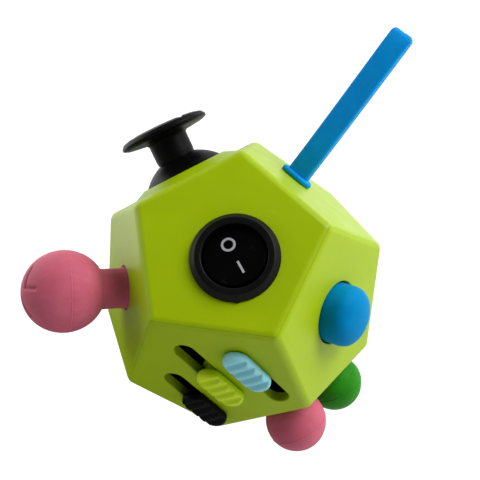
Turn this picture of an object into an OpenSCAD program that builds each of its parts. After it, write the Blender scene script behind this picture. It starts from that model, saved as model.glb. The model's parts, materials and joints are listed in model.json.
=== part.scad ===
/* [Case] */
// Distance between two opposite faces
across = 50; // [49.6:0.1:50.4]
// Wall thickness of the two shells
wall = 2; // [1.8:0.1:2.1]
// Radius that the outer edges are eased to
edge_r = 2; // [1:0.1:2.4]

/* [Rocker switch] */
// Diameter of the rocker's bezel
bezel_d = 16.4; // [16:0.1:17]
// Height of the bezel above the face
bezel_h = 1.5; // [1:0.1:2]
// Offset of the switch from the centre of its face
rocker_offset = 2.8; // [2.2:0.1:3.2]
// Tilt of the rocker disc when it rests
rocker_tilt = 7; // [4:1:8]

/* [Joystick] */
// Diameter of the thumb cap
thumb_d = 19; // [17:0.5:20]
// Height of the thumb cap's rim above the face
thumb_h = 10.1; // [9.8:0.1:11]
// Radius of the round dome
dome_r = 11.3; // [11.2:0.05:11.4]
// Depth of the dome's centre under the face
dome_depth = 6.3; // [6.2:0.05:6.4]

/* [Silicone pieces] */
// Radius of the large ball
pull_r = 8; // [7.5:0.1:8.4]
// Height of the large ball's centre above its face
pull_h = 11.7; // [11.2:0.1:12.6]
// Radius of the largest of the three small balls
trio_r = 6.3; // [6:0.1:6.4]
// Length of the strap above its flange
strap_len = 33.6; // [28:0.1:36]
// Width of the strap
strap_w = 4.75; // [4.2:0.05:5]
// Height of the press button above its face
button_h = 5.5; // [4.8:0.1:6]
// Radius of the press button
button_r = 5.9; // [5.7:0.05:6.2]

/* [Sliders] */
// Distance between two slots
slot_pitch = 8.1; // [8:0.1:8.2]
// Width of a slot
slot_w = 4.2; // [4:0.1:4.4]
// Length of a slider cap
cap_l = 11.4; // [11:0.1:11.6]
// Width of a slider cap
cap_w = 5.2; // [5:0.1:5.4]

/* [Hidden] */
$fn = 64;
R = across / 2;
tilt = acos(1 / sqrt(5));   // angle between the normals of two neighbouring faces
mitre = tilt / 2;           // half of it, the slope of a mitre plane
BIG = 80;
e = 0.01;
weld = 0.02;                // overlap of two plates of one shell

function normal(f) = [sin(f[0]) * cos(f[1]), sin(f[0]) * sin(f[1]), cos(f[0])];
// turns a direction from a face's own frame into the case's
function turned(v, f) = let (x = v[0] * cos(f[0]) + v[2] * sin(f[0]))
    [x * cos(f[1]) - v[1] * sin(f[1]), x * sin(f[1]) + v[1] * cos(f[1]), v[2] * cos(f[0]) - v[0] * sin(f[0])];
// angle of a face's first edge, in the face's own frame
function first_edge(f) = f[0] > 90 && f[0] < 180 ? 0 : 36;
// whether the neighbour across the edge at angle a is one of these faces
function joins(f, a, faces) = let (n = turned([sin(tilt) * cos(a), sin(tilt) * sin(a), cos(tilt)], f))
    len([for (g = faces) if (normal(g) * n > 0.99) g]) > 0;
// whether two faces are neighbours
function touch(i, j) = NORMALS[i] * NORMALS[j] > 0.4;
function leads(v) = v[2] > e || (abs(v[2]) <= e && (v[1] > e || (abs(v[1]) <= e && v[0] > 0)));

// each face: angle of its normal from +Z, and its azimuth
ROCKER = [0, 306];
STICK = [tilt, 126];
PULL = [tilt, 198];
SLIDE = [tilt, 270];
PRESS = [tilt, 342];
STRAP = [tilt, 54];
DIAL = [180 - tilt, 162];
WHEELS = [180 - tilt, 234];
TRIO = [180 - tilt, 306];
CLICKS = [180 - tilt, 18];
ROLLER = [180 - tilt, 90];
REST = [180, 18];
UPPER = [STICK, ROCKER, PULL, STRAP, DIAL, ROLLER];
LOWER = [TRIO, SLIDE, PRESS, WHEELS, CLICKS, REST];
FACES = concat(UPPER, LOWER);
NORMALS = [for (f = FACES) normal(f)];
// one direction for each pair of opposite edges, and one for each pair of opposite corners
EDGE_DIRS = [for (i = [0:10], j = [i + 1:11]) let (v = NORMALS[i] + NORMALS[j])
    if (touch(i, j) && leads(v)) v];
CORNER_DIRS = [for (i = [0:9], j = [i + 1:10], k = [j + 1:11]) let (v = NORMALS[i] + NORMALS[j] + NORMALS[k])
    if (touch(i, j) && touch(j, k) && touch(i, k) && leads(v)) v];
// heights of the flats that ease the edges and the corners, as a round of edge_r would
EDGE_FLAT = (R - edge_r) * 1.175571 + edge_r;
CORNER_FLAT = (R - edge_r) * 1.258409 + edge_r;
SLIDE_TURN = 216;           // turns the slots towards the corner beside the pull ball

// rocker
ROCKER_AT = [rocker_offset, 0.4];
barrel_r = 7.3;
barrel_h = 8.5;
well_r = 5.9;
rocker_r = 5.6;
rocker_pivot = -1;          // height of the rocker's axle
rocker_half = 1.6;          // half of the disc's thickness
axle_r = 0.8;
running = 0.05;             // radial clearance of a pin in its bore

// joystick
STICK_AT = [0, -0.4];
dome_z = -dome_depth;
dome_wall = 1.5;
dome_rim = 2.9;             // height of the dome's rim above its centre
dome_gap = 0.25;
thumb_stem = 4.2;           // radius of the stem under the thumb cap
cup_r = dome_r + 0.45;
gimbal_r = 5.4;
gimbal_bore = 3.6;
gimbal_h = 3;
stalk_r = 2.4;
floor_z = -11.3;            // inner floor of the joystick's cup

// silicone stems
PULL_AT = [0, 0.25];
pull_stem = 4;
pull_pivot = -0.2;
trio_stem = 2.9;
trio_pivot = -0.5;
// each small ball: place on its face, height of its centre, radius
TRIO_PINK = [-8.5, -3.05, 5.45, trio_r];
TRIO_GREEN = [-0.6, 8.55, 5.5, trio_r - 0.15];
TRIO_BLUE = [6, -2, 4.4, trio_r - 1.1];
TRIO_ALL = [TRIO_PINK, TRIO_GREEN, TRIO_BLUE];
STRAP_AT = [-0.2, 3.8];
strap_t = 2.5;
strap_pivot = 1.6;
flange_h = 1.2;

// sliders: middle of the slot along its length, side, length of the slot
slot_l = 16.2;
mid_slot_l = 17.4;
SLOT_BLUE = [-3.15, -slot_pitch, slot_l];
SLOT_YELLOW = [2.65, 0, mid_slot_l];
SLOT_BLACK = [-3.15, slot_pitch, slot_l];
neck_l = 8.4;
foot_l = 9.6;
foot_w = 6;
cap_top = 2;
plate_z = -4.8;
SLIDE_POSTS = [[9.2, 7.6], [9.2, -7.6], [-10.6, 0]];

// press button
PRESS_AT = [0, 0.2];
button_flange = 7.5;
press_travel = 2.4;
guide_floor = -6.5;

// dial
dial_r = 8.5;
dial_h = 2.6;
dial_shaft = 2;

// wheels
wheel_r = 6;
wheel_z = -3.6;
wheel_w = 3.6;
wheel_pitch = 5;
wheel_axle_r = 1.2;

// click buttons
click_ring = 6.4;
click_r = 2.2;
click_h = 1.8;
click_travel = 1.2;
click_floor = -6.6;
CLICK_AT = concat([[0, 0]], [for (a = [45:90:315]) click_ring * [cos(a), sin(a)]]);

// steel ball and thumb dish
steel_r = 5;
steel_z = -3;
dish_r = 9;
dish_deep = 1.1;
dish_sphere = (dish_r * dish_r + dish_deep * dish_deep) / (2 * dish_deep);

// ---- placing ----

// puts its children on a face: +Z outward, +X downhill
module on_face(f, at = [0, 0], turn = 0)
    translate([0, 0, R]) rotate([0, f[0], f[1]]) translate([at[0], at[1], R]) rotate([0, 0, turn])
    children();

// a cylinder from one height to another
module tube(r, z0, z1, r1 = -1) translate([0, 0, z0]) cylinder(r1 = r, r2 = r1 < 0 ? r : r1, h = z1 - z0);

// a bar with round ends, flat on z0
module stadium(l, w, z0, z1) translate([0, 0, z0]) linear_extrude(z1 - z0) {
    square([l - w, w], center = true);
    for (s = [-1, 1]) translate([s * (l - w) / 2, 0]) circle(d = w);
}

// a round wire wound into a compression spring, swept as one closed tube
module coil(r, wire, z0, z1, turns) {
    steps = 14;
    sides = 6;
    n = turns * steps;
    ring = [for (i = [0:n], k = [0:sides - 1])
        let (a = 360 * i / steps, b = 360 * k / sides, q = r + wire * cos(b))
        [q * cos(a), q * sin(a), z0 + wire + (z1 - z0 - 2 * wire) * i / n + wire * sin(b)]];
    side = [for (i = [0:n - 1], k = [0:sides - 1])
        let (p = i * sides + k, q = i * sides + (k + 1) % sides)
        [p, p + sides, q + sides, q]];
    caps = [[for (k = [0:sides - 1]) k], [for (k = [sides - 1:-1:0]) n * sides + k]];
    polyhedron(ring, concat(side, caps), convexity = 6);
}

// ---- case ----

// one face's piece of the wall, mitred where it meets its five neighbours
module face_plate(f, faces) on_face(f) intersection() {
    translate([-BIG / 2, -BIG / 2, -wall]) cube([BIG, BIG, wall]);
    intersection_for (a = [first_edge(f):72:first_edge(f) + 288])
        rotate([0, 0, a]) translate([0, 0, -R]) rotate([0, mitre, 0])
        translate([(joins(f, a, faces) ? weld : 0) - BIG, -BIG / 2, -BIG / 2]) cube([BIG, BIG, BIG]);
}

// what lies between two parallel planes, either side of the centre
module slab(dir, half) rotate([0, acos(dir[2] / norm(dir)), atan2(dir[1], dir[0])])
    cube([BIG, BIG, 2 * half], center = true);

// eases the case's sharp edges and corners
module eased() intersection() {
    children();
    translate([0, 0, R]) intersection_for (dir = EDGE_DIRS) slab(dir, EDGE_FLAT);
    translate([0, 0, R]) intersection_for (dir = CORNER_DIRS) slab(dir, CORNER_FLAT);
}

module case_half(faces) eased() union() for (f = faces) face_plate(f, faces);

// ---- openings and seats in the case ----

module rocker_hole() on_face(ROCKER, ROCKER_AT) tube(barrel_r + 0.2, -wall - 1, 1);

module stick_boss() on_face(STICK, STICK_AT) tube(12, -e, 1.2, 9.3);

module stick_hole() on_face(STICK, STICK_AT) translate([0, 0, dome_z]) sphere(dome_r + dome_gap);

module pull_hole() on_face(PULL, PULL_AT) tube(pull_stem + 0.5, -wall - 1, 1);

module strap_slot() on_face(STRAP, STRAP_AT)
    translate([-strap_t / 2 - 0.1, -strap_w / 2 - 0.1, -wall - 1]) cube([strap_t + 0.2, strap_w + 0.2, wall + 2]);

module dial_hole() on_face(DIAL) tube(dial_shaft + 0.08, -wall - 1, 1);

module roller_hole() on_face(ROLLER) translate([0, 0, steel_z]) sphere(steel_r + 0.15);

module slot_at(s) translate([s[0], s[1], 0]) children();

module slider_slots() on_face(SLIDE, turn = SLIDE_TURN)
    for (s = [SLOT_BLUE, SLOT_YELLOW, SLOT_BLACK]) slot_at(s) stadium(s[2], slot_w, -wall - 1, 1);

module slide_posts() on_face(SLIDE, turn = SLIDE_TURN)
    for (p = SLIDE_POSTS) translate(p) tube(1.5, -3.6, -wall + e);

module slide_post_holes() on_face(SLIDE, turn = SLIDE_TURN)
    for (p = SLIDE_POSTS) translate(p) tube(0.6, -4, -1);

module press_hole() on_face(PRESS, PRESS_AT) tube(button_r + 0.35, -wall - 1, 1);

module trio_holes() on_face(TRIO) for (b = TRIO_ALL) translate([b[0], b[1], 0]) {
    tube(3.75, -wall - 1, 1);
    tube(3.7, -0.9, e, 4.7);
}

module click_holes() on_face(CLICKS) for (p = CLICK_AT) translate(p) tube(click_r + 0.2, -wall - 1, 1);

module wheel_windows() on_face(WHEELS) for (k = [-1:1])
    translate([-6.2, k * wheel_pitch - 2.05, -wall - 1]) cube([12.4, 4.1, wall + 2]);

module dish_pad() on_face(REST) tube(11, -3.2, -wall + e);

module dish() on_face(REST) translate([0, 0, dish_sphere - dish_deep]) sphere(dish_sphere, $fn = 128);

// ---- sub-parts ----

module upper_shell() color("yellowgreen") difference() {
    union() {
        case_half(UPPER);
        stick_boss();
    }
    rocker_hole();
    stick_hole();
    pull_hole();
    strap_slot();
    dial_hole();
    roller_hole();
}

module lower_shell() color("yellowgreen") difference() {
    union() {
        case_half(LOWER);
        slide_posts();
        dish_pad();
    }
    slider_slots();
    slide_post_holes();
    press_hole();
    trio_holes();
    click_holes();
    wheel_windows();
    dish();
}

// rocker switch

module on_rocker() on_face(ROCKER, ROCKER_AT) children();

module rocker_housing() color("#1c1c1e") on_rocker() difference() {
    union() {
        tube(bezel_d / 2, 0, bezel_h, bezel_d / 2 - 0.7);
        tube(barrel_r, -barrel_h, e);
    }
    tube(well_r, -6.4, 0.3);
    tube(well_r, 0.3 - e, bezel_h + e, 7);
    translate([0, 0, rocker_pivot]) rotate([90, 0, 0]) cylinder(r = axle_r + running, h = 2 * 6.8, center = true);
}

module rocker_frame() on_rocker() translate([0, 0, rocker_pivot]) rotate([0, -rocker_tilt, 0]) children();

module rocker_marks_shape(z0, z1) {
    translate([-2.4, 0, 0]) difference() {
        tube(1.35, z0, z1);
        tube(0.9, z0 - 1, z1 + 1);
    }
    translate([1.3, -0.21, z0]) cube([2.5, 0.42, z1 - z0]);
}

module rocker_button() color("#111113") rocker_frame() difference() {
    union() {
        tube(rocker_r, -rocker_half, rocker_half);
        rotate([90, 0, 0]) cylinder(r = axle_r, h = 2 * 6.6, center = true);
    }
    rocker_marks_shape(rocker_half - 0.3, rocker_half + 1);
}

module rocker_marks() color("silver") rocker_frame() rocker_marks_shape(rocker_half - 0.3, rocker_half + 0.03);

module rocker_leaf_spring() color("gold") on_rocker() {
    translate([-3.6, -1.5, -6.4]) cube([7.2, 3, 0.4]);
    translate([-0.7, -1.5, -6 - e]) cube([1.4, 3, 1.6]);
}

// joystick

module joystick_cup() color("#2a2a2c") on_face(STICK, STICK_AT) {
    difference() {
        rotate_extrude($fn = 96) polygon([[0, -12.4], [8.6, -12.4], [cup_r + 1, -8], [cup_r + 1, -wall],
            [cup_r, -wall], [cup_r, -7.6], [8, floor_z], [0, floor_z]]);
        tube(1.2, -13, -11);
    }
    for (s = [-1, 1]) difference() {
        translate([s * 6.85 - 0.75, -1.6, floor_z - e]) cube([1.5, 3.2, dome_z + 1.8 - floor_z]);
        translate([0, 0, dome_z]) rotate([0, 90, 0]) cylinder(r = axle_r + running, h = 20, center = true);
    }
}

module joystick_gimbal_ring() color("#d8d8d8") on_face(STICK, STICK_AT) translate([0, 0, dome_z]) difference() {
    union() {
        tube(gimbal_r, -gimbal_h / 2, gimbal_h / 2);
        rotate([0, 90, 0]) cylinder(r = axle_r, h = 2 * 7.4, center = true);
    }
    tube(gimbal_bore, -gimbal_h, gimbal_h);
    rotate([90, 0, 0]) cylinder(r = axle_r + running, h = 20, center = true);
}

module joystick_dome() color("#161618") on_face(STICK, STICK_AT) translate([0, 0, dome_z]) {
    difference() {
        sphere(dome_r, $fn = 96);
        sphere(dome_r - dome_wall, $fn = 96);
        translate([0, 0, dome_rim - 20]) cube([40, 40, 40], center = true);
    }
    tube(stalk_r, -3.2, dome_r - dome_wall + 0.4);
    tube(2.9, -3.2, -2.5);
    rotate([90, 0, 0]) cylinder(r = axle_r, h = 2 * 5.1, center = true);
}

module thumb_cap() color("#19191b") on_face(STICK, STICK_AT) difference() {
    rotate_extrude($fn = 96) polygon([[0, 3], [thumb_stem, 3], [thumb_stem, thumb_h - 1.4],
        [4.6, thumb_h - 1.4], [8.6, thumb_h - 0.3], [thumb_d / 2, thumb_h], [thumb_d / 2, thumb_h + 0.5],
        [8.9, thumb_h + 1.2], [7.6, thumb_h + 1.5], [0, thumb_h + 1.5]]);
    translate([0, 0, dome_z]) sphere(dome_r, $fn = 96);
    translate([0, 0, thumb_h + 0.6 + 26]) sphere(26, $fn = 128);
    for (a = [0:90:270]) rotate([0, 0, a]) translate([6.2, -0.5, thumb_h + 0.9]) cube([1.6, 1, 2]);
}

module joystick_spring() color("silver") on_face(STICK, STICK_AT) coil(2.1, 0.25, floor_z, dome_z - 3.2, 3);

// silicone balls and the strap

module pull_ball() color("palevioletred") on_face(PULL, PULL_AT) {
    translate([0, 0, pull_h]) sphere(pull_r, $fn = 96);
    tube(pull_stem, pull_pivot, pull_h - 3);
    translate([0, 0, pull_pivot]) sphere(pull_stem + 0.1);
}

module pull_ball_root() color("palevioletred") on_face(PULL, PULL_AT) difference() {
    tube(6.6, -6, -wall);
    translate([0, 0, pull_pivot]) sphere(pull_stem + 0.25);
}

module squeeze_ball(b) on_face(TRIO, [b[0], b[1]]) {
    translate([0, 0, b[2]]) sphere(b[3], $fn = 96);
    tube(trio_stem, trio_pivot, b[2] - 4);
    translate([0, 0, trio_pivot]) sphere(trio_stem + 0.1);
}

module squeeze_root(b) on_face(TRIO, [b[0], b[1]]) difference() {
    tube(4.1, -4.2, -wall);
    translate([0, 0, trio_pivot]) sphere(trio_stem + 0.25);
}

module squeeze_ball_pink() color("palevioletred") squeeze_ball(TRIO_PINK);
module squeeze_ball_green() color("forestgreen") squeeze_ball(TRIO_GREEN);
module squeeze_ball_blue() color("dodgerblue") squeeze_ball(TRIO_BLUE);
module squeeze_root_pink() color("palevioletred") squeeze_root(TRIO_PINK);
module squeeze_root_green() color("forestgreen") squeeze_root(TRIO_GREEN);
module squeeze_root_blue() color("dodgerblue") squeeze_root(TRIO_BLUE);

module strap() color("#0078c0") on_face(STRAP, STRAP_AT) {
    translate([0, 0, strap_pivot]) rotate([90, 0, 0]) cylinder(r = strap_t / 2 + 0.02, h = strap_w, center = true);
    translate([strap_t / 2, 0, 0]) rotate([0, -90, 0]) linear_extrude(strap_t) {
        translate([strap_pivot, -strap_w / 2]) square([strap_len - 1.3, strap_w]);
        translate([strap_pivot, -strap_w / 2 + 1.2]) square([strap_len, strap_w - 2.4]);
        for (s = [-1, 1]) translate([strap_pivot + strap_len - 1.25, s * (strap_w / 2 - 1.25)]) circle(1.2);
    }
}

module strap_root() color("#0078c0") on_face(STRAP, STRAP_AT) difference() {
    union() {
        rotate([0, 0, 90]) stadium(7.3, 4.4, 0, flange_h);
        translate([-strap_t / 2, -strap_w / 2, -wall - e]) cube([strap_t, strap_w, wall + 2 * e]);
        rotate([0, 0, 90]) stadium(8, 5.6, -3.4, -wall);
    }
    translate([0, 0, strap_pivot]) rotate([90, 0, 0]) cylinder(r = strap_t / 2 + 0.15, h = 12, center = true);
}

// sliders: the cap rides on the face, its neck runs in the slot and its foot under the wall

module slider(x, y) on_face(SLIDE, turn = SLIDE_TURN) translate([x, y, 0]) {
    difference() {
        stadium(cap_l, cap_w, 0.2, cap_top);
        for (k = [-1.5:1.5]) translate([k * 2.3, 0, cap_top + 0.25]) rotate([90, 0, 0])
            cylinder(r = 0.75, h = 10, center = true);
    }
    stadium(neck_l, slot_w - 0.4, -wall - 0.4, 0.2 + e);
    stadium(foot_l, foot_w, -3.3, -wall - 0.2);
}

module slider_blue() color("lightblue") slider(0.65, -slot_pitch);
module slider_yellow() color("greenyellow") slider(-1.75, 0);
module slider_black() color("#111111") slider(-6.95, slot_pitch);

module slider_backplate() color("whitesmoke") on_face(SLIDE, turn = SLIDE_TURN) difference() {
    intersection() {
        tube(13.4, plate_z, -3.6);
        translate([-12.2, -20, -10]) cube([30, 40, 20]);
    }
    for (p = SLIDE_POSTS) translate(p) tube(0.8, -6, -3);
}

module slider_screws() color("silver") on_face(SLIDE, turn = SLIDE_TURN)
    for (p = SLIDE_POSTS) translate(p) difference() {
        union() {
            tube(0.58, plate_z - e, -1.3);
            tube(1.3, plate_z - 0.8, plate_z);
        }
        for (a = [0, 90]) rotate([0, 0, a]) translate([-0.8, -0.15, plate_z - 1.8]) cube([1.6, 0.3, 1.3]);
    }

// press button

module press_button() color("#0b7fc8") on_face(PRESS, PRESS_AT) difference() {
    union() {
        tube(button_flange, -3.4, -wall - 0.2);
        tube(button_r, -wall - 0.3, button_h - 2.5);
        intersection() {
            tube(button_r - 0.02, 0, button_h);
            translate([0, 0, button_h - 9.9]) sphere(10.35, $fn = 96);
            translate([0, 0, button_h]) mirror([0, 0, 1]) tube(4.2, 0, 8, 12.2);
        }
    }
    tube(4.4, -4, 3.2);
}

module press_button_guide() color("whitesmoke") on_face(PRESS, PRESS_AT) difference() {
    tube(8.9, guide_floor - 1, -wall);
    tube(7.9, guide_floor, 0);
}

module press_button_spring() color("silver") on_face(PRESS, PRESS_AT) coil(3.4, 0.3, guide_floor, 3.2, 5);

// dial

module dial() color("#2b6fb5") on_face(DIAL) difference() {
    union() {
        tube(dial_r - 0.5, 0.2, 0.7, dial_r);
        tube(dial_r, 0.7 - e, dial_h - 0.6);
        tube(dial_r, dial_h - 0.6 - e, dial_h, dial_r - 0.6);
        tube(dial_shaft, -5, 0.3);
    }
    translate([5, 0, dial_h + 2.4]) sphere(3.4);
    for (a = [0:15:345]) rotate([0, 0, a]) translate([dial_r + 0.35, 0, -1]) cylinder(r = 0.7, h = 6, $fn = 24);
}

module dial_clip() color("silver") on_face(DIAL) difference() {
    tube(4, -3.2, -wall - 0.2);
    tube(dial_shaft, -4, 0);
}

// wheels

module wheel(k) on_face(WHEELS) translate([0, k * wheel_pitch, wheel_z]) rotate([90, 0, 0]) difference() {
    cylinder(r = wheel_r, h = wheel_w, center = true);
    cylinder(r = wheel_axle_r + running, h = 10, center = true);
    for (a = [0:30:330]) rotate([0, 0, a]) translate([wheel_r + 0.35, 0, 0])
        cylinder(r = 1.05, h = 10, center = true, $fn = 32);
}

module wheel_left() color("gold") wheel(-1);
module wheel_middle() color("orangered") wheel(0);
module wheel_right() color("dodgerblue") wheel(1);

module wheel_axle() color("silver") on_face(WHEELS) translate([0, 0, wheel_z]) rotate([90, 0, 0])
    cylinder(r = wheel_axle_r, h = 18.6, center = true);

module wheel_brackets() color("whitesmoke") on_face(WHEELS) for (s = [-1, 1]) difference() {
    translate([-2.8, s * 8.5 - 0.8, -6.2]) cube([5.6, 1.6, 6.2 - wall]);
    translate([0, 0, wheel_z]) rotate([90, 0, 0]) cylinder(r = wheel_axle_r, h = 30, center = true);
}

// click buttons

module click_button(i) on_face(CLICKS, CLICK_AT[i]) {
    tube(click_r, -wall - 0.3, click_h - 0.4);
    tube(click_r, click_h - 0.4 - e, click_h, click_r - 0.4);
    tube(2.9, -3.1, -wall - 0.2);
}

module click_spring(i) color("silver") on_face(CLICKS, CLICK_AT[i]) coil(1.5, 0.2, click_floor, -3.1, 4);

module click_button_1() color("black") click_button(0);
module click_button_2() color("gold") click_button(1);
module click_button_3() color("orangered") click_button(2);
module click_button_4() color("dodgerblue") click_button(3);
module click_button_5() color("forestgreen") click_button(4);
module click_spring_1() click_spring(0);
module click_spring_2() click_spring(1);
module click_spring_3() click_spring(2);
module click_spring_4() click_spring(3);
module click_spring_5() click_spring(4);

module click_plate() color("whitesmoke") on_face(CLICKS) {
    tube(10.2, click_floor - 1, click_floor);
    for (a = [0:90:270]) rotate([0, 0, a]) translate([9, 0, 0]) tube(1.1, click_floor - e, -wall);
}

// steel ball

module steel_ball() color("silver") on_face(ROLLER) translate([0, 0, steel_z]) sphere(steel_r, $fn = 96);

module steel_ball_socket() color("whitesmoke") on_face(ROLLER) difference() {
    tube(6.6, -9.2, -wall);
    translate([0, 0, steel_z]) sphere(steel_r + 0.15);
}

upper_shell();
lower_shell();
rocker_housing();
rocker_button();
rocker_marks();
rocker_leaf_spring();
joystick_cup();
joystick_gimbal_ring();
joystick_dome();
thumb_cap();
joystick_spring();
pull_ball();
pull_ball_root();
slider_blue();
slider_yellow();
slider_black();
slider_backplate();
slider_screws();
press_button();
press_button_guide();
press_button_spring();
strap();
strap_root();
squeeze_ball_pink();
squeeze_ball_green();
squeeze_ball_blue();
squeeze_root_pink();
squeeze_root_green();
squeeze_root_blue();
dial();
dial_clip();
wheel_left();
wheel_middle();
wheel_right();
wheel_axle();
wheel_brackets();
click_button_1();
click_button_2();
click_button_3();
click_button_4();
click_button_5();
click_spring_1();
click_spring_2();
click_spring_3();
click_spring_4();
click_spring_5();
click_plate();
steel_ball();
steel_ball_socket();
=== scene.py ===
import json
from math import acos, atan2, cos, exp, hypot, pi, radians, sin, sqrt, tan

import bmesh
import bpy
from mathutils import Matrix, Vector


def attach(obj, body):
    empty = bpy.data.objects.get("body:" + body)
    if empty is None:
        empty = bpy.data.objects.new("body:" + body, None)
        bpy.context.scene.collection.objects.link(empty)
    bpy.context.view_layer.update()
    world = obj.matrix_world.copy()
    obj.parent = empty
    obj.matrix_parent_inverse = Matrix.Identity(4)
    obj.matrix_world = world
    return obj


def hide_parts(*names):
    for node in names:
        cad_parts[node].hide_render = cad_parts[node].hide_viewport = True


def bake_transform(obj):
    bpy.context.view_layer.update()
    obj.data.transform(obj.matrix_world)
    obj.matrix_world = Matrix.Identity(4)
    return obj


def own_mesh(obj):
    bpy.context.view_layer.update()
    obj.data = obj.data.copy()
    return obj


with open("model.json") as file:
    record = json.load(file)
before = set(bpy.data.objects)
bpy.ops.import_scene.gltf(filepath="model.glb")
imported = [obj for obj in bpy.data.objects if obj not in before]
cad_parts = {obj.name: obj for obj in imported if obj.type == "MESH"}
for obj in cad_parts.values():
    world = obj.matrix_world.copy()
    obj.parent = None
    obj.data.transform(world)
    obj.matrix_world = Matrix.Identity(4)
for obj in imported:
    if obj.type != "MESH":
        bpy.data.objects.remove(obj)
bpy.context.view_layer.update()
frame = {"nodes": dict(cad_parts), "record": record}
nodes = frame["nodes"]

# Pieces are made in millimetres, in the frame of the face they belong to, and placed from there.
R = 25.0
TILT = acos(1 / sqrt(5))
FACES = {
    "ROCKER": (0, 306), "STICK": (TILT, 126), "PULL": (TILT, 198), "SLIDE": (TILT, 270),
    "PRESS": (TILT, 342), "STRAP": (TILT, 54), "DIAL": (pi - TILT, 162), "WHEELS": (pi - TILT, 234),
    "TRIO": (pi - TILT, 306), "CLICKS": (pi - TILT, 18), "ROLLER": (pi - TILT, 90), "REST": (pi, 18),
}
UPPER = ("STICK", "ROCKER", "PULL", "STRAP", "DIAL", "ROLLER")


def face(name, at=(0, 0), turn=0.0, up=0.0):
    """From a face's own frame in millimetres to the row frame in metres."""
    polar, azimuth = FACES[name]
    return (
        Matrix.Scale(0.001, 4)
        @ Matrix.Translation((0, 0, R))
        @ Matrix.Rotation(radians(azimuth), 4, "Z")
        @ Matrix.Rotation(polar, 4, "Y")
        @ Matrix.Translation((at[0], at[1], R + up))
        @ Matrix.Rotation(radians(turn), 4, "Z")
    )


def normal(name):
    polar, azimuth = FACES[name]
    a = radians(azimuth)
    return Vector((sin(polar) * cos(a), sin(polar) * sin(a), cos(polar)))


# ---- camera ----


def make_camera():
    camera = bpy.data.objects.new("camera", bpy.data.cameras.new("camera"))
    bpy.context.scene.collection.objects.link(camera)
    place = Vector((0.016184, -0.031816, 0.154236))
    aim = Vector((-0.000584, 0.008331, 0.027705))
    back = (place - aim).normalized()
    level = (-back).cross(Vector((0, 0, 1))).normalized()
    roll = radians(-15.0477)
    right = level * cos(roll) + level.cross(-back) * sin(roll)
    top = back.cross(right)
    m = Matrix.Identity(4)
    for i, v in enumerate((right, top, back, place)):
        m.col[i][:3] = v
    camera.matrix_world = m
    camera.data.lens = 46.15
    camera.data.sensor_width = 36
    camera.data.clip_start = 0.01
    camera.data.clip_end = 20
    bpy.context.scene.camera = camera


make_camera()

# ---- mesh tools ----


def filleted(corners, steps=5):
    """Rounds each (x, y, radius) corner of an open outline."""
    out = []
    for i, (x, y, radius) in enumerate(corners):
        p = Vector((x, y))
        if radius <= 0 or i in (0, len(corners) - 1):
            out.append((x, y))
            continue
        a = (Vector(corners[i - 1][:2]) - p).normalized()
        b = (Vector(corners[i + 1][:2]) - p).normalized()
        half = a.angle(b) / 2
        centre = p + (a + b).normalized() * radius / sin(half)
        u, v = p + a * radius / tan(half) - centre, p + b * radius / tan(half) - centre
        turn = u.angle(v)
        for k in range(steps + 1):
            t = k / steps
            out.append(tuple(centre + (u * sin((1 - t) * turn) + v * sin(t * turn)) / sin(turn)))
    return out


def bridge(bm, low, high):
    n = max(len(low), len(high))
    for k in range(n):
        quad = [low[k % len(low)], low[(k + 1) % len(low)], high[(k + 1) % len(high)], high[k % len(high)]]
        quad = [v for i, v in enumerate(quad) if v not in quad[:i]]
        if len(quad) > 2:
            bm.faces.new(quad)


def lathe(bm, profile, steps=96, closed=False):
    """Revolves (radius, height) points about Z. A point of radius 0 is a pole."""
    rings = []
    for r, z in profile:
        if r < 1e-6:
            rings.append([bm.verts.new((0, 0, z))])
        else:
            turns = [2 * pi * k / steps for k in range(steps)]
            rings.append([bm.verts.new((r * cos(a), r * sin(a), z)) for a in turns])
    for low, high in zip(rings, rings[1:] + rings[:1] if closed else rings[1:]):
        bridge(bm, low, high)
    return rings


def loft(bm, outline, levels, caps=(True, True)):
    """Joins outline(offset) at each (offset, height), and closes both ends."""
    rings = [[bm.verts.new((x, y, z)) for x, y in outline(d)] for d, z in levels]
    for low, high in zip(rings, rings[1:]):
        bridge(bm, low, high)
    if caps[0]:
        bm.faces.new(rings[0][::-1])
    if caps[1]:
        bm.faces.new(rings[-1])
    return rings


def stadium(length, width, arc=14, run=2, at=(0, 0)):
    """The outline of a bar with round ends, as a function of the offset from it."""

    def outline(d):
        r, s = width / 2 + d, (length - width) / 2
        points = []
        for side in (1, -1):
            for k in range(arc + 1):
                a = -pi / 2 + pi * k / arc
                points.append((side * (s + r * cos(a)), side * r * sin(a)))
            for k in range(1, run):
                points.append((side * (s - 2 * s * k / run), side * r))
        return [(x + at[0], y + at[1]) for x, y in points]

    return outline


def oblong(length, width, corner, arc=6, run=1, at=(0, 0)):
    """The outline of a rectangle with rounded corners, as a function of the offset from it."""

    def outline(d):
        c = max(corner + d, 0.02)
        hx, hy = length / 2 + d - c, width / 2 + d - c
        points = []
        for q, (sx, sy) in enumerate(((1, 1), (-1, 1), (-1, -1), (1, -1))):
            for k in range(arc + 1):
                a = pi / 2 * (q + k / arc)
                points.append((sx * hx + c * cos(a), sy * hy + c * sin(a)))
            ex, ey = ((-1, 1), (-1, -1), (1, -1), (1, 1))[q]
            for k in range(1, run):
                t = k / run
                if q % 2 == 0:
                    points.append((sx * hx * (1 - 2 * t), sy * (hy + c)))
                else:
                    points.append((sx * (hx + c), sy * hy * (1 - 2 * t)))
        return [(x + at[0], y + at[1]) for x, y in points]

    return outline


def disc(radius, steps=72, at=(0, 0)):
    def outline(d):
        return [
            (at[0] + (radius + d) * cos(2 * pi * k / steps), at[1] + (radius + d) * sin(2 * pi * k / steps))
            for k in range(steps)
        ]

    return outline


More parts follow.
